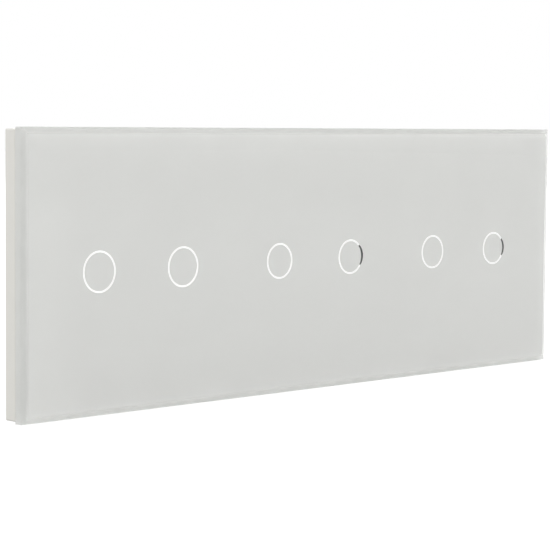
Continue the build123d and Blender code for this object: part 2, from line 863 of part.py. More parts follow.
def cage_at(across):
    """Return a clamp cage: a square tube round the bar, open upwards and downwards for the wire."""
    with BuildPart() as cage:
        middle = Plane(origin=(across, 0, -terminal_drop), x_dir=(1, 0, 0), z_dir=(0, 0, 1))
        with BuildSketch(middle):
            with Locations((0, (cage_setback + cage_back) / 2)):
                Rectangle(cage_width, cage_back - cage_setback)
            with Locations((0, (cage_setback + cage_floor + cage_back - cage_head) / 2)):
                inner_height = cage_back - cage_head - cage_setback - cage_floor
                Rectangle(cage_inner_width, inner_height, mode=Mode.SUBTRACT)
        extrude(amount=cage_length / 2, both=True)
        with BuildSketch(facing(cage_back, across, -terminal_drop)):
            Circle(terminal_screw_radius + terminal_screw_fit)
        extrude(amount=cage_head, mode=Mode.SUBTRACT)
    return cage


def terminal_screw_at(across):
    """Return a terminal screw: a slotted head under the housing's boss, and a shank down to the bar."""
    with BuildPart() as screw:
        with BuildSketch(facing(head_back, across, -terminal_drop)):
            Circle(terminal_head_radius)
        extrude(amount=terminal_head_height)
        chamfer(screw.faces().sort_by(Axis.Y)[-1].edges(), terminal_head_edge)
        with BuildSketch(facing(head_front, across, -terminal_drop)):
            Circle(terminal_screw_radius)
        extrude(amount=head_front - bar_back - terminal_screw_fit)
        with BuildSketch(facing(head_back, across, -terminal_drop)):
            Rectangle(2 * terminal_head_radius, terminal_slot_width)
        extrude(amount=terminal_slot_depth, mode=Mode.SUBTRACT)
    return screw


for name, place in zip(module_names, module_places):
    for terminal, offset in zip(terminal_names, terminal_offsets):
        save(cage_at(place + offset), f"{name}_{terminal}_cage")
        save(terminal_screw_at(place + offset), f"{name}_{terminal}_screw")
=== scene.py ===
# %% [markdown]
# # A triple touch light switch of glass
# The switch is one wide sheet of glass on a clip-on carrier. Behind it stand three modules with
# a steel bracket, a rear housing, relays and screw terminals. The solids come from the packed
# model, so this lesson only dresses them: it sets the camera and the light, mixes a finish for
# each material, and adds the thin things that a solid model doesn't need, such as printed ink,
# copper tracks, solder and wound wire.

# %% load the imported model
import bmesh
import bpy
import json
import math
import numpy as np
from mathutils import Matrix, Vector


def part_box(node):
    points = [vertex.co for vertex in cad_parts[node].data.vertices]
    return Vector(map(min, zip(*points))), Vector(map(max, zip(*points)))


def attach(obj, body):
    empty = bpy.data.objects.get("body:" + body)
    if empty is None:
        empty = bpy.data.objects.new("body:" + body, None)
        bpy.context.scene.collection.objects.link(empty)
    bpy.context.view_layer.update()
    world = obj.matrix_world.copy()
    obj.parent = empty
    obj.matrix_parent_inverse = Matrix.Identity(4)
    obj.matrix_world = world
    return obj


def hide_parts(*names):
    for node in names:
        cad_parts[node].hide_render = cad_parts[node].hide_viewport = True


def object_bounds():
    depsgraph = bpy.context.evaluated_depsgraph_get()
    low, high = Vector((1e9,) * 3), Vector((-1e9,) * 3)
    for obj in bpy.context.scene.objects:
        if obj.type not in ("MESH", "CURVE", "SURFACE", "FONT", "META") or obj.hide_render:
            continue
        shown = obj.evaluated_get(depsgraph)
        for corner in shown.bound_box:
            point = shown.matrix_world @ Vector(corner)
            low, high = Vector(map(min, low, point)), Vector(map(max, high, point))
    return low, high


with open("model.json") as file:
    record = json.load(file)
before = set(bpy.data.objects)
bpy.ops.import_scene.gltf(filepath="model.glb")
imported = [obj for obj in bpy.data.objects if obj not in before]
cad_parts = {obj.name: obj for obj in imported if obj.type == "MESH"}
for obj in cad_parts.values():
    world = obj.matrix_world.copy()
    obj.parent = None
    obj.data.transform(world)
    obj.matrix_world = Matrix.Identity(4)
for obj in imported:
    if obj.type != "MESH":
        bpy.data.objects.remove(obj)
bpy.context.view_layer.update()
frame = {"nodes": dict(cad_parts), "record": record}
nodes = frame["nodes"]
mm = 0.001

# %% [markdown]
# The panel is flat and its front looks along minus Y. A long lens, far off to the left, sees it
# at 45 degrees. The place and the turn of the camera were found by fitting the lines of the
# outline, the carrier's edge and the six rings, so both are written as plain numbers. The lens
# is set from the focal length in pixels of an image 550 pixels wide.

# %% the camera
image_width, sensor_width = 550, 36
focal_pixels = 2020.5
camera_place = Vector((-449.3, -433.3, 41.5)) * mm
yaw, pitch, roll = math.radians(45.308), math.radians(4.302), math.radians(0.472)
level_right = Vector((math.cos(yaw), -math.sin(yaw), 0))
level_forward = Vector((math.sin(yaw), math.cos(yaw), 0))
forward = level_forward * math.cos(pitch) - Vector((0, 0, math.sin(pitch)))
level_up = level_right.cross(forward)
right = level_right * math.cos(roll) + level_up * math.sin(roll)
upward = level_up * math.cos(roll) - level_right * math.sin(roll)

camera_data = bpy.data.cameras.new("viewpoint")
camera_data.sensor_width = sensor_width
camera_data.lens = focal_pixels / image_width * sensor_width
camera = bpy.data.objects.new("viewpoint", camera_data)
bpy.context.scene.collection.objects.link(camera)
turn = Matrix((right, upward, -forward)).transposed().to_4x4()
camera.matrix_world = Matrix.Translation(camera_place) @ turn
bpy.context.scene.camera = camera
print("lens", round(camera_data.lens, 1), "mm")

# %% [markdown]
# Every finish is a small net of shader nodes, and most of it is arithmetic. Written by hand this
# takes many lines, so two small classes do it. A Signal is a number that varies over the
# surface, and adding or multiplying signals adds the Math nodes. A Finish is the material: it
# keeps its constants on the shader's own sockets and adds any other node through one method.

# %% arithmetic on sockets
class Signal:
    """A socket that gives a number; an expression on it adds Math nodes to its finish."""

    def __init__(self, finish, socket):
        self.finish, self.socket = finish, socket

    def math(self, operation, *values):
        """Add one Math node whose sockets take the values in turn."""
        settings = {"operation": operation}
        return self.finish.node("ShaderNodeMath", settings, dict(enumerate(values)))

    def __add__(self, other):
        return self.math("ADD", self, other)

    def __sub__(self, other):
        return self.math("SUBTRACT", self, other)

    def __rsub__(self, other):
        return self.math("SUBTRACT", other, self)

    def __mul__(self, other):
        return self.math("MULTIPLY", self, other)

    __radd__, __rmul__ = __add__, __mul__

    def size(self):
        """The number without its sign."""
        return self.math("ABSOLUTE", self)

    def sine(self):
        """The sine of the number, taken as radians."""
        return self.math("SINE", self)

    def at_most(self, other):
        """The smaller of the two numbers."""
        return self.math("MINIMUM", self, other)

    def at_least(self, other):
        """The larger of the two numbers."""
        return self.math("MAXIMUM", self, other)

    def step(self, start, end):
        """Rise smoothly from 0 at start to 1 at end; start may be the larger of the two."""
        settings = {"interpolation_type": "SMOOTHSTEP"}
        inputs = {"Value": self, "From Min": start, "From Max": end}
        return self.finish.node("ShaderNodeMapRange", settings, inputs)


class Finish:
    """A material with one Principled shader, named constants and helpers for its nodes."""

    def __init__(self, name, **constants):
        self.material = bpy.data.materials.new(name)
        self.material.use_nodes = True
        self.tree = self.material.node_tree
        self.shader = self.tree.nodes["Principled BSDF"]
        self.out = self.tree.nodes["Material Output"]
        self.feed(**constants)

    def node(self, kind, settings=None, inputs=None, output=0):
        """Add a node: its settings first, then the values or links of its sockets."""
        made = self.tree.nodes.new(kind)
        for key, value in (settings or {}).items():
            setattr(made, key, value)
        for key, value in (inputs or {}).items():
            self.put(made.inputs[key], value)
        return Signal(self, made.outputs[output])

    def put(self, socket, value):
        """Link a signal to a socket, or set the socket to a plain value."""
        if isinstance(value, Signal):
            self.tree.links.new(value.socket, socket)
        else:
            socket.default_value = value

    def feed(self, **values):
        """Put values on the shader's sockets; an underscore stands for a space."""
        for socket, value in values.items():
            self.put(self.shader.inputs[socket.replace("_", " ")], value)

    def place(self):
        """The place on the object, in millimetres, as a vector."""
        spot = self.node("ShaderNodeTexCoord", output="Object")
        inputs = {0: spot, "Scale": 1 / mm}
        return self.node("ShaderNodeVectorMath", {"operation": "SCALE"}, inputs)

    def axes(self):
        """The place on the object in millimetres, as three signals."""
        split = self.node("ShaderNodeSeparateXYZ", inputs={0: self.place()})
        return [Signal(self, socket) for socket in split.socket.node.outputs]

    def noise(self, grain, detail=2, stretch=(1, 1, 1)):
        """Cloudy noise from 0 to 1 whose clouds are about grain millimetres across.

        The place is divided by stretch, which draws the clouds out into streaks.
        """
        inputs = {0: self.place(), 1: stretch}
        spot = self.node("ShaderNodeVectorMath", {"operation": "DIVIDE"}, inputs)
        inputs = {"Vector": spot, "Scale": 1 / grain, "Detail": detail}
        return self.node("ShaderNodeTexNoise", inputs=inputs)

    def mix(self, share, first, second):
        """Blend two colours by a share; colours are the Mix node's sockets 6 and 7."""
        inputs = {0: share, 6: first, 7: second}
        return self.node("ShaderNodeMix", {"data_type": "RGBA"}, inputs, output=2)

    def bump(self, height, depth):
        """A normal from a height signal; depth is in millimetres."""
        inputs = {"Height": height, "Strength": 1, "Distance": depth * mm}
        return self.node("ShaderNodeBump", inputs=inputs)


def grey(level, warm=0.0):
    """A colour of one brightness; warm adds to the red and takes from the blue."""
    return (level * (1 + warm), level, level * (1 - warm), 1)


print("a warm mid grey is", grey(0.5, 0.02))

# %% [markdown]
# A ring's place is needed more than once below, by the print, the ink and the dark crescents of
# painted shade, so it is worked out first from the boxes of the solids. Two rings stand either side
# of each module's middle, each in front of a light guide. The box of all the guides reaches past
# the last ring by a guide's radius and its flange, and taking these off leaves the ring's place.

# %% where the rings are
def middle_of(node):
    """The middle of a solid's box across the switch, in millimetres."""
    low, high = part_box(node)
    return (low.x + high.x) / 2 / mm


module_places = [middle_of(f"{name}_bracket") for name in ("left", "middle", "right")]
guide_radius, guide_flange = 6.4, 0.6
guides_low, guides_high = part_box("light_guides")
last_ring = (guides_high.x - guides_low.x) / 2 / mm - guide_radius - guide_flange
ring_offset = last_ring - module_places[-1]
ring_centres = [place + side * ring_offset for place in module_places for side in (-1, 1)]
ring_sizes = (11.3, 11.3, 10.3, 10.3, 10.3, 10.3)
ring_line = 0.45
film_front, film_back = (corner.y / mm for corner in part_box("printed_backing"))
print("rings at", [round(x, 2) for x in ring_centres], "print at", round(film_front, 3))


# %% [markdown]
# The back of the glass is printed pale grey-white. On the real panel that print shows through
# 3 mm of clear glass, so the glass is a clear material of its own. Its rounded edges bend the
# light by themselves. They are ground, which leaves them more satin than the face, so the
# roughness rises within the width of the edge. The tint darkens there too, partly for the grey
# haze of ground glass and partly as painted shade for the light the edge loses. Two things need
# care. Print and glass are one body for light, with no air between, so the back face of the
# glass lets every ray pass straight to the print. And light from the lamps reaches the print by
# shadow rays, which would stop at clear glass, so the whole glass is see-through for them.

# %% glass, print and ink
glass_low, glass_high = (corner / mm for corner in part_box("glass_panel"))
glass_middle, glass_half = (glass_low + glass_high) / 2, (glass_high - glass_low) / 2
edge_width, full_ground_and_shade, ground_roughness = 2.3, 0.9, 0.6
polished_tint, ground_and_shade_tint = (0.99, 0.992, 0.988, 1), (0.785, 0.79, 0.777, 1)
back_skin = 0.01

clear_glass = Finish("clear_glass", IOR=1.52, Transmission_Weight=1.0)
glass_x, glass_y, glass_z = clear_glass.axes()
at_back = glass_y.step(film_front - 2 * back_skin, film_front - back_skin)
from_end = glass_half.x - (glass_x - glass_middle.x).size()
from_edge = from_end.at_most(glass_half.z - (glass_z - glass_middle.z).size())
# Within the edge the tint darkens: partly the haze of ground glass, partly painted shade.
ground_and_shade = from_edge.step(edge_width, full_ground_and_shade) * (1 - at_back)
cloudy = clear_glass.noise(2.5, 3) * 0.3 + 0.85
clear_glass.feed(Base_Color=clear_glass.mix(ground_and_shade * cloudy, polished_tint, ground_and_shade_tint))
clear_glass.feed(Roughness=ground_and_shade * ground_roughness)

shadow_ray = clear_glass.node("ShaderNodeLightPath", output="Is Shadow Ray")
see_through = clear_glass.node("ShaderNodeBsdfTransparent", inputs={"Color": polished_tint})
body_of_glass = Signal(clear_glass, clear_glass.shader.outputs[0])
shaders = {0: shadow_ray.at_least(at_back), 1: body_of_glass, 2: see_through}
joined = clear_glass.node("ShaderNodeMixShader", inputs=shaders)
clear_glass.put(clear_glass.out.inputs["Surface"], joined)

panel_print = Finish("panel_print", Roughness=0.6, Specular_IOR_Level=0.0)
# The print's slow clouds of lighter and darker are partly its own uneven tone and partly a painted
# reflection.
print_and_reflection_low, print_and_reflection_high = (0.738, 0.738, 0.729, 1), (0.768, 0.768, 0.759, 1)
panel_print.feed(Base_Color=panel_print.mix(panel_print.noise(14, 3), print_and_reflection_low, print_and_reflection_high))

# The ink's faint white glow is painted light; the rings' own lamps are off.
ring_ink_and_glow = Finish("ring_ink_and_glow", Roughness=0.4, Emission_Color=grey(1), Emission_Strength=0.33)
ink_low, ink_high = (0.93, 0.94, 0.94, 1), grey(0.97)
ring_ink_and_glow.feed(Base_Color=ring_ink_and_glow.mix(ring_ink_and_glow.noise(0.3), ink_low, ink_high))
print("glass, print and ink mixed; the glass spans", [round(2 * x, 2) for x in glass_half])

# %% [markdown]
# Moulded plastic is never quite smooth. A spark-eroded mould leaves a fine grain, and the flow
# of the plastic leaves slow changes of gloss. Both come from noise: a fine one bumps the
# surface, a coarse one varies the roughness and, very slightly, the colour.

# %% moulded plastics
def moulded(name, colour, grain=0.25, depth=0.012, rough=0.5, spread=0.05):
    """A moulded plastic with a fine bump and slow changes of colour and gloss.

    Its bumps are grain across and depth high, in millimetres. Its roughness lies around rough,
    and its darkest places have 1 - spread of its colour.
    """
    made = Finish(name)
    slow, fine, gloss_range = made.noise(9, 3), made.noise(grain), 0.12
    dark = tuple(channel * (1 - spread) for channel in colour[:3]) + (1,)
    made.feed(Base_Color=made.mix(slow, dark, colour), Normal=made.bump(fine, depth))
    made.feed(Roughness=slow * gloss_range + (rough - gloss_range / 2))
    return made


carrier_plastic = moulded(
    "carrier_plastic", (0.80, 0.79, 0.745, 1), depth=0.004, rough=0.42, spread=0.03
)
case_plastic = moulded("case_plastic", grey(0.035))
housing_plastic = moulded(
    "housing_plastic", grey(0.70, 0.012), grain=0.35, depth=0.02, rough=0.55, spread=0.04
)
relay_plastic = moulded(
    "relay_plastic", (0.03, 0.11, 0.33, 1), depth=0.004, rough=0.3, spread=0.12
)
chip_plastic = moulded(
    "chip_plastic", grey(0.022), grain=0.12, depth=0.008, rough=0.6, spread=0.2
)
fuse_plastic = moulded(
    "fuse_plastic", (0.13, 0.045, 0.02, 1), depth=0.004, rough=0.35, spread=0.15
)
guide_plastic = moulded(
    "guide_plastic", (0.9, 0.91, 0.9, 1), depth=0.002, rough=0.25, spread=0.02
)
light_plastic = moulded(
    "light_plastic", (0.86, 0.85, 0.68, 1), depth=0.002, rough=0.15, spread=0.06
)
capacitor_sleeve = moulded(
    "capacitor_sleeve", (0.02, 0.025, 0.045, 1), depth=0.003, rough=0.25, spread=0.2
)
varistor_coating = moulded(
    "varistor_coating", (0.02, 0.09, 0.26, 1), grain=0.6, depth=0.03, rough=0.35, spread=0.2
)
foam = moulded("foam", grey(0.02), grain=0.15, depth=0.05, rough=0.9, spread=0.3)
adhesive = moulded("adhesive", grey(0.62, 0.02), grain=0.4, depth=0.01, rough=0.7)
ferrite = moulded("ferrite", grey(0.05), grain=0.2, depth=0.02, rough=0.7, spread=0.25)
print("moulded plastics mixed")

# %% [markdown]
# The brackets are galvanised steel: the zinc freezes in large crystals that each shine a
# little differently. A Voronoi cell stands for a crystal, and its random colour sets how rough
# and how bright the crystal is. Screws, cages and springs are plated and smooth, with a fine
# drawn grain, which is noise stretched along the part.

# %% metals
galvanised = Finish("galvanised", Metallic=1.0)
cells = {"Vector": galvanised.place(), "Scale": 0.28}
crystal = galvanised.node("ShaderNodeTexVoronoi", inputs=cells, output="Color")
level = galvanised.node("ShaderNodeSeparateXYZ", inputs={0: crystal})
dull_zinc, bright_zinc = (0.50, 0.515, 0.53, 1), (0.68, 0.69, 0.695, 1)
smoothest, crystal_range, cloud_range = 0.28, 0.22, 0.1
galvanised.feed(Base_Color=galvanised.mix(level, dull_zinc, bright_zinc))
cloud = galvanised.noise(1.2)
galvanised.feed(Roughness=level * crystal_range + cloud * cloud_range + smoothest)


def plated(name, low, high, rough=0.25, stretch=(1, 6, 1)):
    """A plated or bare metal: two colours in fine streaks, and a gloss that follows them."""
    made = Finish(name, Metallic=1.0)
    streak, gloss_range, streak_depth = made.noise(0.25, 3, stretch), 0.16, 0.006
    made.feed(Base_Color=made.mix(streak, low, high), Normal=made.bump(streak, streak_depth))
    made.feed(Roughness=streak * gloss_range + (rough - gloss_range / 2))
    return made


screw_steel = plated("screw_steel", (0.52, 0.50, 0.44, 1), (0.70, 0.68, 0.62, 1))
cage_steel = plated("cage_steel", grey(0.52), (0.70, 0.70, 0.71, 1), rough=0.32)
spring_steel = plated(
    "spring_steel", (0.55, 0.55, 0.54, 1), (0.74, 0.74, 0.73, 1), rough=0.2
)
contact_brass = plated(
    "contact_brass", (0.60, 0.42, 0.16, 1), (0.78, 0.60, 0.28, 1), rough=0.3
)
soft_iron = plated(
    "soft_iron", grey(0.38), (0.52, 0.52, 0.51, 1), rough=0.35, stretch=(6, 1, 1)
)
copper_wire = plated(
    "copper_wire", (0.42, 0.13, 0.05, 1), (0.66, 0.27, 0.12, 1), rough=0.3, stretch=(4, 1, 4)
)
solder = plated("solder", grey(0.50), grey(0.68), rough=0.28, stretch=(1, 1, 1))
print("metals mixed")

# %% [markdown]
# A circuit board is glass cloth under green lacquer. The weave shows as a faint grid of squares
# a quarter of a millimetre wide, and copper tracks below the lacquer show as lighter lines. The
# weave is the product of two sine waves, and the tracks are a second mesh further below.

# %% circuit boards
circuit_board = Finish("circuit_board", Coat_Weight=0.35, Coat_Roughness=0.2)
across, _, up = circuit_board.axes()
weave_turn, weave_share, weave_depth = 12.6, 0.3, 0.01
weave = (across * weave_turn).sine() * (up * weave_turn).sine()
mottle = circuit_board.noise(3, 3)
dark_lacquer, light_lacquer = (0.008, 0.085, 0.03, 1), (0.014, 0.13, 0.05, 1)
lacquer = circuit_board.mix(mottle + weave * weave_share, dark_lacquer, light_lacquer)
circuit_board.feed(Base_Color=lacquer, Normal=circuit_board.bump(weave, weave_depth))
circuit_board.feed(Roughness=mottle * 0.15 + 0.35)
print("a square of the weave is", round(math.pi / weave_turn, 2), "mm wide")

# %% [markdown]
# Each solid now takes the finish of its material slot in the record, so a change in the record
# is followed here. A solid's own material is overwritten in place, which leaves its mesh alone.

# %% dress the solids
finishes = {
    "panel_glass": clear_glass, "white_enamel": panel_print, "adhesive": adhesive,
    "carrier_plastic": carrier_plastic, "galvanised_steel": galvanised,
    "case_plastic": case_plastic, "housing_plastic": housing_plastic,
    "guide_plastic": guide_plastic, "foam": foam, "spring_steel": spring_steel,
    "light_plastic": light_plastic, "circuit_board": circuit_board,
    "chip_plastic": chip_plastic, "screw_steel": screw_steel, "cage_steel": cage_steel,
    "contact_brass": contact_brass, "relay_plastic": relay_plastic,
    "copper_wire": copper_wire, "soft_iron": soft_iron, "capacitor_sleeve": capacitor_sleeve,
    "ferrite": ferrite, "fuse_plastic": fuse_plastic, "varistor_coating": varistor_coating,
}
for row in frame["record"]["subparts"]:
    solid = nodes[row["node"]]
    for spot in solid.material_slots:
        spot.material = finishes[row["material_slot"]].material

# %% [markdown]
# New pieces are meshes whose points come from numpy arrays. One helper turns a grid of points
# into a mesh: rows and columns of the grid become quads, and a closed direction joins its last
# line to its first. Each piece then rides on the body that carries it.

# %% a mesh from a grid of points
def grid_faces(rows, columns, close_rows, close_columns, start=0):
    """Number the quads of a grid whose points are numbered row by row from start."""
    row = np.arange(rows if close_rows else rows - 1)[:, None]
    column = np.arange(columns if close_columns else columns - 1)[None, :]
    next_row, next_column = (row + 1) % rows, (column + 1) % columns
    corners = (row * columns + column, row * columns + next_column,
               next_row * columns + next_column, next_row * columns + column)
    return start + np.stack(np.broadcast_arrays(*corners), axis=-1).reshape(-1, 4)


def end_faces(rows, columns, close_rows, start=0):
    """The two faces that shut a grid's open ends, along its closed direction."""
    if close_rows:
        first = start + np.arange(rows) * columns
        last = first + columns - 1
    else:
        first = start + np.arange(columns)
        last = first + (rows - 1) * columns
    return [first.tolist(), last.tolist()]


def piece_from(name, grids, finish, body, close_rows=False, close_columns=False, smooth=True):
    """Make one piece from a row of grids, each shaped (rows, columns, 3), in millimetres.

    A grid closed in one direction only is a tube, and its two ends are shut with a face each.
    """
    faces, start = [], 0
    for grid in grids:
        rows, columns = grid.shape[:2]
        faces += grid_faces(rows, columns, close_rows, close_columns, start).tolist()
        if close_rows != close_columns:
            faces += end_faces(rows, columns, close_rows, start)
        start += rows * columns
    points = np.concatenate([grid.reshape(-1, 3) for grid in grids])
    mesh = bpy.data.meshes.new(name)
    mesh.from_pydata((points * mm).tolist(), [], faces)
    return finished(name, mesh, finish, body, smooth)


def finished(name, mesh, finish, body, smooth=True):
    """Turn every face of a mesh outwards, dress it and let it ride on its body."""
    work = bmesh.new()
    work.from_mesh(mesh)
    bmesh.ops.recalc_face_normals(work, faces=work.faces)
    work.to_mesh(mesh)
    work.free()
    mesh.polygons.foreach_set("use_smooth", [smooth] * len(mesh.polygons))
    mesh.materials.append(finish.material)
    piece = bpy.data.objects.new(name, mesh)
    bpy.context.scene.collection.objects.link(piece)
    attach(piece, body)
    print(name, len(mesh.polygons), "faces")
    return piece


def turned(centres, profile, segments=64, start=0.0, sweep=360.0):
    """Turn a profile of (radius, depth) pairs round the Y axis at each centre.

    A point is centre + (radius cos a, depth, radius sin a), with a from start over sweep degrees.
    """
    whole = abs(sweep) == 360
    angle = np.radians(start + sweep * np.arange(segments) / (segments if whole else segments - 1))
    radius, depth = np.asarray(profile, float).T
    x = radius[:, None] * np.cos(angle)
    z = radius[:, None] * np.sin(angle)
    y = np.broadcast_to(depth[:, None], x.shape)
    ring = np.stack((x, y, z), axis=-1)
    return np.asarray(centres, float)[:, None, None, :] + ring[None]


print("a grid of 3 by 4 points has", len(grid_faces(3, 4, False, False)), "faces")

# %% [markdown]
# The print is a film on the back of the glass. In the solid it touches the glass, and two
# surfaces in one plane show stripes when they are rendered, so a sheet of its own takes its
# place, a hundredth of a millimetre behind. The sheet has a cell for each ring: the cell is a
# ruled surface from the ring's edge out to a rectangle, with an island inside the ring, and
# Solidify gives the flat sheet its thickness.

# %% the printed sheet
def rectangle_points(low_x, high_x, low_z, high_z, per_side):
    """Points round a rectangle, the same number on each side, with the corners among them."""
    t = np.arange(per_side) / per_side
    width, height = high_x - low_x, high_z - low_z
    bottom = np.stack((low_x + width * t, np.full(per_side, low_z)), axis=1)
    right_side = np.stack((np.full(per_side, high_x), low_z + height * t), axis=1)
    top = np.stack((high_x - width * t, np.full(per_side, high_z)), axis=1)
    left_side = np.stack((np.full(per_side, low_x), high_z - height * t), axis=1)
    return np.concatenate((bottom, right_side, top, left_side))


sheet_low, sheet_high = (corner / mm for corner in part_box("printed_backing"))
between_rings = [(a + b) / 2 for a, b in zip(ring_centres, ring_centres[1:])]
cuts = [sheet_low.x, *between_rings, sheet_high.x]
sheet_gap, per_side = 0.01, 64
points, faces = [], []
for centre, size, low, high in zip(ring_centres, ring_sizes, cuts, cuts[1:]):
    outline = rectangle_points(low, high, sheet_low.z, sheet_high.z, per_side)
    away = outline - (centre, 0)
    unit = away / np.linalg.norm(away, axis=1, keepdims=True)
    outside = (centre, 0) + unit * (size + ring_line) / 2
    inside = (centre, 0) + unit * (size - ring_line) / 2
    flat = np.concatenate((outline, outside, inside))
    sheet_depth = np.full(len(flat), film_front + sheet_gap)
    start, count = sum(len(part) for part in points), len(outline)
    around, after = np.arange(count), (np.arange(count) + 1) % count
    quads = np.stack((around, after, count + after, count + around), axis=1) + start
    island = start + 2 * count + around
    faces += quads.tolist() + [island.tolist()]
    points.append(np.stack((flat[:, 0], sheet_depth, flat[:, 1]), axis=1))
sheet_mesh = bpy.data.meshes.new("printed_sheet")
sheet_mesh.from_pydata((np.concatenate(points) * mm).tolist(), [], faces)
sheet_mesh.materials.append(panel_print.material)
printed_sheet = bpy.data.objects.new("printed_sheet", sheet_mesh)
bpy.context.scene.collection.objects.link(printed_sheet)
wall = printed_sheet.modifiers.new("thickness", "SOLIDIFY")
wall.thickness, wall.offset = (film_back - film_front - 2 * sheet_gap) * mm, -1
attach(printed_sheet, "panel")
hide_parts("printed_backing")
print("printed sheet", len(faces), "faces")

# %% [markdown]
# The six rings are what one touches. On the real panel the white print leaves a thin ring bare,
# and a light-spreading ink fills it, so each ring reads as a fine, very white line. Here the ink
# is a flat washer in the gap of the print, and it glows faintly, which is painted light. On two
# rings the ink is missing on the right, and a thin dark crescent of painted shade fills that part
# of the gap: it stands for the shade inside the switch, seen through the bare ring, as the
# photograph has it.

# %% the ring ink
def washer(centre, size, start, sweep, segments=96):
    """A flat washer in the print's gap: a small rectangle turned round the ring's centre."""
    inner, outer, edge = (size - ring_line) / 2, (size + ring_line) / 2, 0.002
    profile = [(inner + edge, film_front + sheet_gap), (outer - edge, film_front + sheet_gap),
               (outer - edge, film_back - edge), (inner + edge, film_back - edge)]
    return turned([(centre, 0, 0)], profile, segments, start, sweep)


# The crescent is painted shade: a dark piece in the foam finish, where the real switch shows only
# the shade inside it.
def crescent(centre, size, low, high, swell=0.45, segments=48):
    """A thin crescent over the print's gap, from one angle to another.

    Its inner edge is the ring's inner edge. Its outer edge is the ring's outer edge plus
    swell (1 - s^2), where s runs from -1 to 1 along the arc, so it is widest in the middle.
    It lies between the glass and the print, from 0.3 to 0.8 of the gap.
    """
    s = np.linspace(-1, 1, segments)
    angle = np.radians((low + high) / 2 + (high - low) / 2 * s)
    inner = np.full(segments, (size - ring_line) / 2)
    outer = (size + ring_line) / 2 + swell * (1 - s * s)
    radius = np.stack((inner, outer, outer, inner))
    share = np.array([0.3, 0.3, 0.8, 0.8])[:, None]
    depth = film_front + sheet_gap * share * np.ones(segments)
    x, z = centre + radius * np.cos(angle), radius * np.sin(angle)
    return np.stack((x, depth, z), axis=-1)[None]


# The arcs, in degrees, where a dark crescent of painted shade takes the place of the ring's ink.
painted_shade_arcs = {4: (-32, 42), 6: (-30, 36)}
for number, (centre, size) in enumerate(zip(ring_centres, ring_sizes), start=1):
    low, high = painted_shade_arcs.get(number, (0, 0))
    white = washer(centre, size, high, 360 - (high - low))
    piece_from(f"ring_ink_and_glow_{number}", white, ring_ink_and_glow, "panel",
               close_rows=True, close_columns=number not in painted_shade_arcs, smooth=False)
    if number in painted_shade_arcs:
        dark = crescent(centre, size, low, high)
        piece_from(f"painted_ring_shade_{number}", dark, foam, "panel",
                   close_rows=True, smooth=False)

# %% [markdown]
# Each relay has a coil of enamelled copper wire. Its thousands of turns could be one long helix,
# but only the outer layer is ever seen, and a helix would need a hundred thousand points. So the
# coil gets a sleeve that rises and falls once for each turn of wire.

# %% wound wire
def wound_sleeve(centre, low, high, radius, turns, steps=4):
    """A sleeve round the Y axis whose radius is radius + wire / 2 |sin(pi n)|.

    Here n counts the turns along Y, and wire is the length of one turn along the axis.
    """
    wire = (high - low) / turns
    n = np.linspace(0, turns, turns * steps + 1)
    outside = np.stack((radius + wire / 2 * np.abs(np.sin(np.pi * n)), low + wire * n), axis=1)
    inside = [(radius - wire, high), (radius - wire, low)]
    return turned([centre], np.concatenate((outside, inside)), segments=40)[0]


coil_low, coil_high = (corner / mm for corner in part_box("relay_coils"))
coil_radius, coil_middle = (coil_high.z - coil_low.z) / 2, (coil_high.z + coil_low.z) / 2
coil_offset = coil_high.x - coil_radius - module_places[-1]
coil_places = [
    (place + side * coil_offset, 0, coil_middle) for place in module_places for side in (-1, 1)
]
flange, wire_turns = 0.75, 22
wire_low, wire_high = coil_low.y + flange, coil_high.y - flange
sleeves = [
    wound_sleeve(place, wire_low, wire_high, coil_radius, wire_turns) for place in coil_places
]
piece_from("coil_windings", sleeves, copper_wire, "root",
           close_rows=True, close_columns=True)

# %% [markdown]
# A circuit board's copper lies under the lacquer, a little proud of the glass cloth. A track is
# a flat ribbon along a bent line, and its corners are mitred, so it keeps its width through a
# bend. The same few tracks serve all three boards, moved from module to module.

# %% the tracks' finish and shape
lacquered_copper = Finish("lacquered_copper", Coat_Weight=0.35, Coat_Roughness=0.2)
ripple = lacquered_copper.noise(1.5, 3)
dark_track, light_track = (0.03, 0.20, 0.06, 1), (0.06, 0.27, 0.09, 1)
lacquered_copper.feed(Base_Color=lacquered_copper.mix(ripple, dark_track, light_track))
lacquered_copper.feed(Roughness=ripple * 0.15 + 0.3)


def ribbon(line, width, face, rise):
    """A flat ribbon along a line of (x, z) points on a board's face.

    A corner is moved from the line by width / 2 along (a + b) / (1 + a.b), where a and b are
    the unit normals of the runs on its two sides, and this keeps both runs' width.
    """
    line = np.asarray(line, float)
    run = np.diff(line, axis=0)
    normal = np.stack((-run[:, 1], run[:, 0]), axis=1) / np.linalg.norm(run, axis=1)[:, None]
    before, after = np.vstack((normal[:1], normal)), np.vstack((normal, normal[-1:]))
    mitre = (before + after) / (1 + np.sum(before * after, axis=1))[:, None] * width / 2
    left, right_side = line + mitre, line - mitre
    flat = np.stack((left, right_side, right_side, left), axis=1)
    depth = np.broadcast_to(face + np.array([rise, rise, -rise / 2, -rise / 2]), flat.shape[:2])
    return np.stack((flat[..., 0], depth, flat[..., 1]), axis=-1)


# %% [markdown]
# On the relay board wide tracks carry the mains from the terminals to the fuse, the supply and
# the relays. On the sensor board three thin ones run from the touch chip to each spring. A row
# gives a track's points, in millimetres from the module's middle, and its width.

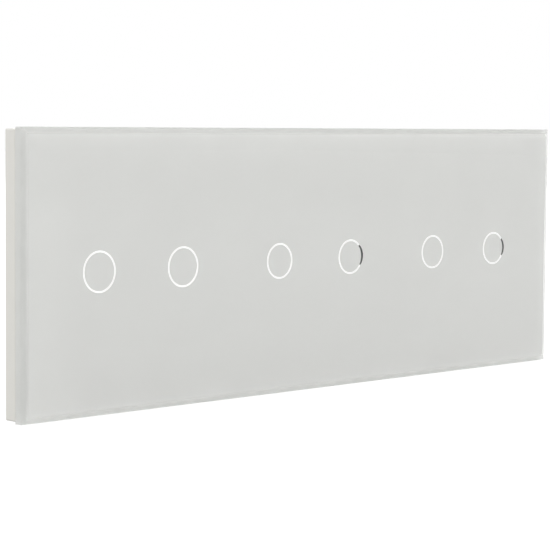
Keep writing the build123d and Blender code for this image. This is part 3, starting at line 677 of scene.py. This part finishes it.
# %% copper tracks
mains_tracks = [
    ([(-11, -12.2), (-15.8, -7.5)], 1.6),
    ([(-15.8, -2.5), (-13.3, 0), (-13.3, 14), (-9.8, 17.5), (4, 17.5), (4, 15)], 1.4),
    ([(-8, 18.1), (-8, 15)], 1.4),
    ([(0, -12.2), (-8.5, -9.5), (-11.1, -6.5), (-11.1, 1.2), (-8.8, 1.2)], 1.4),
    ([(11, -12.2), (11.4, -9), (11.4, 1.2), (8.8, 1.2)], 1.4),
    ([(15.8, -7.5), (13, -10.5), (11, -12.2)], 1.1),
    ([(16.5, 7.3), (16.5, 11), (12.5, 15), (8, 15)], 0.8),
    ([(15.8, -2.5), (15.8, 1.5), (16.5, 2.4), (16.5, 4.7)], 0.8),
    ([(4.5, -3), (3.2, -1.5), (3.2, 1.2)], 0.6),
    ([(-4.5, -3), (-3.2, -1.5), (-3.2, 1.2)], 0.6),
]
sensor_tracks = []
for side in (-1, 1):
    for n in range(3):
        chip_up, spring_up = -3.4 - 0.5 * n, -0.4 - 0.1 * n
        line = [(side * 2.6, chip_up), (side * (8 + 0.5 * n), chip_up),
                (side * (11 + 0.9 * n), spring_up), (side * 14.5, spring_up)]
        sensor_tracks.append((line, 0.28))

mains_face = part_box("left_relay_board")[0].y / mm
sensor_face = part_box("left_sensor_board")[1].y / mm
layers = ((mains_tracks, mains_face, -0.06), (sensor_tracks, sensor_face, 0.04))
tracks = [
    ribbon(line, width, face, rise) + (place, 0, 0)
    for place in module_places for group, face, rise in layers for line, width in group
]
piece_from("copper_tracks", tracks, lacquered_copper, "root",
           close_columns=True, smooth=False)

# %% [markdown]
# Every wire that passes through a board ends in a cone of solder round its cut tip. One profile
# is turned round each place, with few faces, because there are dozens of them. The profile goes
# from the joint's foot on the board to the tip of the wire.

# %% solder
leads = [
    (-8.8, 1.2), (-3.2, 1.2), (3.2, 1.2), (8.8, 1.2), (-8, 15), (-4, 15), (4, 15), (8, 15),
    (-16.5, 4.7), (-16.5, 7.3), (16.5, 4.7), (16.5, 7.3), (-4.5, -9), (4.5, -9), (-4.5, -3),
    (4.5, -3), (-15.8, -7.5), (-15.8, -2.5), (15.8, -7.5), (15.8, -2.5), (-11, -12.2),
    (0, -12.2), (11, -12.2),
]
solder_profile = [
    (0.95, 0.03), (0.9, -0.12), (0.55, -0.35), (0.34, -0.7), (0.3, -1.0), (0.1, -1.08)
]
solder_places = [(place + x, mains_face, z) for place in module_places for x, z in leads]
cones = turned(solder_places, solder_profile, segments=12)
piece_from("solder_joints", cones, solder, "root", close_columns=True)

# %% [markdown]
# The floor is pale and the backdrop white, as in a studio picture. To the camera the backdrop
# shines at a strength of one, which is white. The floor glows a little less, and the lamps add
# the rest, so that it is white where they reach it and keeps the soft shadow under the switch.
# Rays that glance off metal or pass through glass see the same white, but light that a matt
# surface has scattered doesn't, so the print behind the glass isn't lit twice.

# %% the floor
floor_gap, floor_reach = 0.0005, 4.0
floor_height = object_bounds()[0].z - floor_gap
floor_corners = [
    (across * floor_reach, along * floor_reach, floor_height)
    for across, along in ((-1, -1), (1, -1), (1, 1), (-1, 1))
]
floor_mesh = bpy.data.meshes.new("studio_floor")
floor_mesh.from_pydata(floor_corners, [], [(0, 1, 2, 3)])
studio_floor = bpy.data.objects.new("studio_floor", floor_mesh)
bpy.context.scene.collection.objects.link(studio_floor)
floor_colour, floor_glow = grey(0.50), grey(0.75)
floor_finish = Finish(
    "floor_finish", Base_Color=floor_colour, Roughness=0.9, Specular_IOR_Level=0.0,
    Emission_Strength=1.0,
)
rays = floor_finish.node("ShaderNodeLightPath").socket.node.outputs
camera_ray, glossy_ray, clear_ray, bounces = (
    Signal(floor_finish, rays[name])
    for name in ("Is Camera Ray", "Is Glossy Ray", "Is Transmission Ray", "Diffuse Depth")
)
straight = camera_ray.at_least(glossy_ray).at_least(clear_ray) * (1 - bounces.at_most(1.0))
floor_finish.feed(Emission_Color=floor_finish.mix(straight, grey(0), floor_glow))
floor_mesh.materials.append(floor_finish.material)
print("floor at", round(floor_height / mm, 2), "mm")

# %% [markdown]
# The backdrop is the world, whose net has no Principled shader, so its few Math nodes are added
# by a function of their own. A ray that was scattered sees the room at about half strength.

# %% the backdrop
backdrop = bpy.data.worlds.new("backdrop")
bpy.context.scene.world = backdrop
backdrop.use_nodes = True
tree = backdrop.node_tree
room = tree.nodes["Background"]
room.inputs["Color"].default_value = grey(1)
path = tree.nodes.new("ShaderNodeLightPath")


def backdrop_math(operation, first, second):
    """Add one Math node to the backdrop's net."""
    made = tree.nodes.new("ShaderNodeMath")
    made.operation = operation
    for socket, value in zip(made.inputs, (first, second)):
        if isinstance(value, float):
            socket.default_value = value
        else:
            tree.links.new(value, socket)
    return made.outputs[0]


room_light = 0.55
shown = backdrop_math("MAXIMUM", path.outputs["Is Camera Ray"], path.outputs["Is Transmission Ray"])
shown = backdrop_math("MAXIMUM", shown, path.outputs["Is Glossy Ray"])
scattered = backdrop_math("MINIMUM", path.outputs["Diffuse Depth"], 1.0)
shown = backdrop_math("MULTIPLY", shown, backdrop_math("SUBTRACT", 1.0, scattered))
strength = backdrop_math("MULTIPLY", shown, 1 - room_light)
tree.links.new(backdrop_math("ADD", strength, room_light), room.inputs["Strength"])
print("room light", room_light)

# %% [markdown]
# The studio has three soft lamps, and their strength leaves the pale face below white. The front
# lamp hangs above the middle, because further to the right the glass would mirror it into the
# camera. A weaker one stands to the left, where the end of the panel is seen. The one behind is
# the largest and hangs high, because a small bright one would show as a white patch in the top
# of the carrier when that is seen from low down.

# %% lamps
def soft_lamp(name, place, aim, size, watts):
    """A square area lamp at a place, turned to a point; places are in metres."""
    data = bpy.data.lights.new(name, "AREA")
    data.size, data.energy = size, watts
    lamp = bpy.data.objects.new(name, data)
    bpy.context.scene.collection.objects.link(lamp)
    lamp.location = place
    lamp.rotation_mode = "QUATERNION"
    lamp.rotation_quaternion = (Vector(aim) - Vector(place)).to_track_quat("-Z", "Y")
    print(name, watts, "W")


switch_middle = (0, 0, 0)
soft_lamp("front_lamp", (0.05, -1.3, 0.5), switch_middle, 1.0, 8.5)
soft_lamp("side_lamp", (-1.2, 0.3, 0.35), switch_middle, 0.7, 5.2)
soft_lamp("rear_lamp", (0.5, 1.7, 0.95), switch_middle, 1.6, 12.0)

# %% [markdown]
# Standard view transform shows a colour as it is written.

# %% finish
bpy.context.scene.view_settings.view_transform = "Standard"
